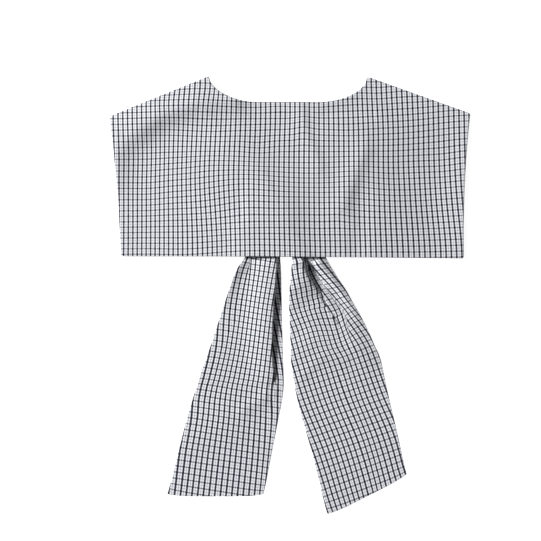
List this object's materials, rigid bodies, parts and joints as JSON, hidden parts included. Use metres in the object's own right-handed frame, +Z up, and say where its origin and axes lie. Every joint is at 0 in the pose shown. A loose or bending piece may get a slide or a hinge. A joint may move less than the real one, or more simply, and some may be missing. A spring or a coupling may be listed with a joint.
{
  "type": "capelet",
  "caption": "Boat-neck capelet in check cotton, laid flat: a wide front panel over plain back halves, with long pleated ties that fan out below its hem.",
  "frame": {"origin": "on the ground, under the middle of the laid-out capelet with its ties", "axes": "+Y from the ends of the ties towards the neck, +X to the right seen from above, +Z up off the ground"},
  "size_m": [0.5751, 0.6995, 0.0163],
  "materials": {
    "check_cotton": "matt plain weave, white ground with a fine dark graph check"
  },
  "bodies": {
    "root": {"front_panel": "check_cotton", "back_half_left": "check_cotton", "back_half_right": "check_cotton", "tie_left": "check_cotton", "tie_right": "check_cotton"}
  },
  "joints": []
}
